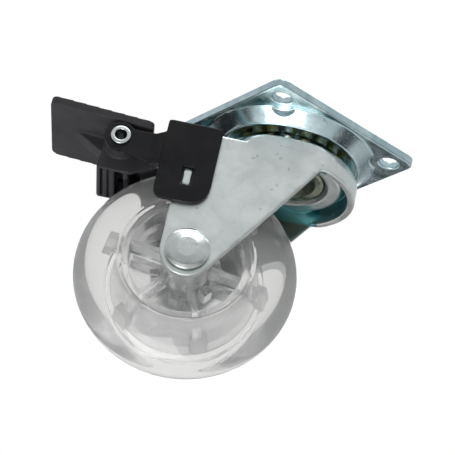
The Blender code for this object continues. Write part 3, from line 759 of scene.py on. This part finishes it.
def build_bracket():
    cheek = rounded([(CHEEK_LEFT, CHEEK_LOW, 8 * MM), (CHEEK_RIGHT, CHEEK_LOW, 3.5 * MM),
                     (CHEEK_RIGHT, CHEEK_HIGH, 1.2 * MM), (CHEEK_LEFT, CHEEK_HIGH, 1.0 * MM)], 10)
    face = LEG_HALF + GAP
    outer_half = 25 * MM
    bracket = lean(side_prism("brake_bracket_pressed", cheek, face, face + BRACKET_SHEET), 1)
    other = lean(side_prism("far_cheek", cheek, -face - BRACKET_SHEET, -face), -1)
    inner = EAR_HALF
    outer = EAR_HALF + BRACKET_SHEET
    cheek_y = face + LEG_SPREAD * (-20 * MM - AXLE_Z) + BRACKET_SHEET
    half_plan = [
        (38.9 * MM, cheek_y - 0.4 * MM), (39.6 * MM, cheek_y, 0.5 * MM), (44.6 * MM, outer, 2.5 * MM),
        (64 * MM, outer), (64 * MM, inner), (44.0 * MM, inner, 2.0 * MM),
        (41.2 * MM, inner + 1.2 * MM, 0.8 * MM), (40.6 * MM, inner - 0.4 * MM)]
    plan = rounded([*half_plan, *[(p[0], -p[1], *p[2:]) for p in reversed(half_plan)]], 8)
    strip = prism("strip", plan, -60 * MM, 0)
    ear = [(36 * MM, -16.6 * MM), (38.6 * MM, -16.6 * MM), (52.0 * MM, -16.8 * MM),
           *arc(PIVOT_X, PIVOT_Z, EAR_RADIUS, 110, -110, 40),
           (46.5 * MM, -27.5 * MM), (41.2 * MM, -29.0 * MM), (36 * MM, -29.0 * MM)]
    combine(strip, "INTERSECT", side_prism("ears", ear, -outer_half, outer_half))
    cut(strip, box("gap", (30 * MM, -inner + 0.2 * MM, -40 * MM), (42.6 * MM, inner - 0.2 * MM, -20.6 * MM)))
    join(bracket, strip, other)
    slot = rounded(mm((29.0, -35.4, 0.5), (32.8, -35.4, 0.5), (32.8, -28.9, 0.5), (29.0, -28.9, 0.5)))
    cut(bracket, side_prism("slots", slot, -outer_half, outer_half))
    cut(bracket, across(drill("hole", PIVOT_RADIUS + GAP, -FAR, FAR), PIVOT_X, PIVOT_Z))
    soften(bracket, 0.26 * MM, 4)
    finish_piece(move(bracket, FORK), "fork", BLACK_LOOK, "black_steel", "brake_bracket")


def build_pivot():
    seat = EAR_HALF + BRACKET_SHEET + GAP
    flare = 3.4 * MM
    half = [(PIVOT_BORE, seat + 0.7 * MM, 0.4 * MM), (flare, seat + 0.6 * MM, 0.4 * MM),
            (flare, seat, 0.2 * MM), (PIVOT_RADIUS, seat, 0.1 * MM)]
    profile = rounded([*half, *[(p[0], -p[1], p[2]) for p in reversed(half)]])
    pivot = across(lathe("pedal_pivot_turned", profile, 96, ring=True), PIVOT_X, PIVOT_Z)
    finish_piece(move(pivot, FORK), "fork", HEAD_LOOK, "rivet_steel", "pedal_pivot")


def pedal_top(x):
    """Height of the foot plate's top at a fork X."""
    slope = (PEDAL_OUTER_Z - PEDAL_INNER_Z) / (PEDAL_OUTER_X - PEDAL_INNER_X)
    return PEDAL_INNER_Z + slope * (x - PEDAL_INNER_X)


def build_pedal():
    outline = rounded([
        (PEDAL_INNER_X, -PEDAL_HALF, 2 * MM), (PEDAL_OUTER_X, -PEDAL_HALF, 3 * MM),
        (PEDAL_OUTER_X, PEDAL_HALF, 3 * MM), (PEDAL_INNER_X, PEDAL_HALF, 2 * MM)], 12)
    pedal = prism("brake_pedal_moulded", outline, -PEDAL_THICKNESS, 0)
    for vertex in pedal.data.vertices:
        vertex.co.z += pedal_top(vertex.co.x)
    block = [
        (46.8 * MM, pedal_top(46.8 * MM) - 1.4 * MM), (44.6 * MM, -17.2 * MM), (42.8 * MM, -20.5 * MM),
        (43.6 * MM, -25.0 * MM), (50.5 * MM, BLOCK_LOW_Z), (61.7 * MM, BLOCK_LOW_Z), (62.4 * MM, -28.8 * MM),
        (61.6 * MM, -20.0 * MM), (63.0 * MM, pedal_top(63.0 * MM) - 1.4 * MM)]
    join(pedal, side_prism("block", block, -BLOCK_HALF, BLOCK_HALF))
    boss = [(0, -15.7 * MM), (4.6 * MM, -15.7 * MM), (4.6 * MM, 15.7 * MM), (0, 15.7 * MM)]
    join(pedal, across(lathe("boss", boss, 64), PIVOT_X, PIVOT_Z))
    gusset = [(61.0 * MM, pedal_top(61.0 * MM) - 1.2 * MM), (61.3 * MM, -20.5 * MM),
              (75.5 * MM, pedal_top(75.5 * MM) - 1.6 * MM)]
    join(pedal, side_prism("gusset", gusset, -3.0 * MM, 3.0 * MM))
    grow = 1 + TREAD_CLEARANCE / WHEEL_RADIUS
    turns = [math.sin(math.radians(a)) * TREAD_SEMI_WIDTH for a in range(88, -89, -4)]
    tread = [(0, grow * TREAD_SEMI_WIDTH), *[(tread_radius(y) * grow, y * grow) for y in turns],
             (0, -grow * TREAD_SEMI_WIDTH)]
    cut(pedal, across(lathe("clearance", tread)))
    # The block is cored out from below, which leaves ribs along the axle's line
    for x, wide, deep in ((60.5, 0.9, 2.2), (58.2, 0.7, 1.4), (54.6, 3.0, 7.0), (49.8, 3.4, 6.0)):
        long = BLOCK_HALF - (1.4 * MM if wide > 1 else 0.8 * MM)
        low = (x - wide / 2) * MM
        floor = AXLE_Z + math.sqrt(max(0.0, (WHEEL_RADIUS * grow) ** 2 - (x * MM - TRAIL) ** 2))
        top = max(BLOCK_LOW_Z, floor) + deep * MM
        cut(pedal, box("core", (low, -long, -45 * MM), (low + wide * MM, long, min(top, -18.5 * MM))))
    cut(pedal, across(drill("bore", PIVOT_RADIUS + GAP, -FAR, FAR), PIVOT_X, PIVOT_Z))
    soften(pedal, 0.3 * MM, 4)
    finish_piece(move(pedal, FORK), "pedal", PEDAL_LOOK, "pedal_plastic", "brake_pedal")


# ---------------------------------------------------------------- studio


def square(x, y, reach):
    """Corners of a square about a point."""
    return [(x - reach, y - reach), (x + reach, y - reach), (x + reach, y + reach), (x - reach, y + reach)]


def ground():
    """A pale floor, with dark cards on it."""
    floor = prism("floor", square(0, 0, FLOOR_REACH), FLOOR_Z - 0.02, FLOOR_Z)
    g = Graph("floor_paint", (0.80, 0.80, 0.80), 0.9)
    g.set("Base Color", g.ramp(g.noise(3, 2), (0.3, (0.78, 0.78, 0.78)), (0.7, (0.82, 0.82, 0.82))))
    floor.data.materials.append(g.material)
    card_paint = Graph("card_paint", (0.03, 0.03, 0.032), 0.9)
    card_paint.set("Base Color", card_paint.ramp(card_paint.noise(3, 2), (0.3, (0.025, 0.026, 0.028)),
                                                 (0.7, (0.04, 0.04, 0.042))))
    for name, x, y, reach in CARDS:
        card = prism(name, square(x, y, reach), FLOOR_Z, FLOOR_Z + CARD_THICKNESS)
        card.data.materials.append(card_paint.material)


def surround():
    """A surround graded with height, plain for the camera, for diffuse light and through the plastics."""
    world = bpy.data.worlds.new("studio")
    bpy.context.scene.world = world
    world.use_nodes = True
    tree = world.node_tree
    tree.nodes.clear()
    output = tree.nodes.new("ShaderNodeOutputWorld")
    place = tree.nodes.new("ShaderNodeTexCoord")
    split = tree.nodes.new("ShaderNodeSeparateXYZ")
    ramp = tree.nodes.new("ShaderNodeValToRGB")
    level = tree.nodes.new("ShaderNodeMapRange")
    level.inputs["From Min"].default_value = -1.0
    tree.links.new(place.outputs["Generated"], split.inputs["Vector"])
    tree.links.new(split.outputs["Z"], level.inputs["Value"])
    tree.links.new(level.outputs["Result"], ramp.inputs["Fac"])
    stops = ((0.0, 0.25), (0.45, 0.28), (0.56, 0.55), (0.73, 0.66), (0.88, 0.50), (1.0, 0.35))
    points = ramp.color_ramp.elements
    while len(points) < len(stops):
        points.new(0.5)
    for point, (where, value) in zip(points, stops):
        point.position = where
        point.color = (value * 0.96, value, value * 1.02, 1.0)
    seen = tree.nodes.new("ShaderNodeLightPath")
    around = tree.nodes.new("ShaderNodeBackground")
    tree.links.new(ramp.outputs["Color"], around.inputs["Color"])
    shown = around.outputs["Background"]
    rays = (("Is Diffuse Ray", (0.30, 0.30, 0.30, 1.0)), ("Is Transmission Ray", (0.76, 0.755, 0.74, 1.0)),
            ("Is Camera Ray", (1.0, 1.0, 1.0, 1.0)))
    for ray, colour in rays:
        plain = tree.nodes.new("ShaderNodeBackground")
        plain.inputs["Color"].default_value = colour
        mix = tree.nodes.new("ShaderNodeMixShader")
        tree.links.new(seen.outputs[ray], mix.inputs["Fac"])
        tree.links.new(shown, mix.inputs[1])
        tree.links.new(plain.outputs["Background"], mix.inputs[2])
        shown = mix.outputs["Shader"]
    tree.links.new(shown, output.inputs["Surface"])


def lamps():
    """Square soft lamps."""
    for name, spot, aim, size, power, in_glass in LAMPS:
        light = bpy.data.lights.new(name, "AREA")
        light.size = size
        light.energy = power
        lamp = bpy.data.objects.new(name, light)
        lamp.location = spot
        lamp.rotation_euler = (aim - Vector(spot)).to_track_quat("-Z", "Y").to_euler()
        lamp.visible_transmission = in_glass
        bpy.context.scene.collection.objects.link(lamp)


def camera():
    """The view from low on the wheel's side, looking up at the plate."""
    azimuth, elevation, roll = math.radians(-32.9), math.radians(-27.3), math.radians(13.1)
    away = Vector((math.sin(azimuth) * math.cos(elevation), -math.cos(azimuth) * math.cos(elevation),
                   math.sin(elevation)))
    target = Vector((-0.0045, 0.0209, -0.0293))
    lens = bpy.data.cameras.new("camera")
    lens.lens = 191.4
    lens.sensor_width = 36
    view = bpy.data.objects.new("camera", lens)
    view.location = target + away * 0.8329
    turn = (-away).to_track_quat("-Z", "Y").to_matrix() @ Matrix.Rotation(roll, 3, "Z")
    view.rotation_euler = turn.to_euler()
    bpy.context.scene.collection.objects.link(view)
    bpy.context.scene.camera = view
    bpy.context.scene.view_settings.view_transform = "Standard"


build_plate()
build_bearing()
build_fork()
build_axle()
build_tyre()
build_hub()
build_bracket()
build_pivot()
build_pedal()
ground()
surround()
lamps()
camera()
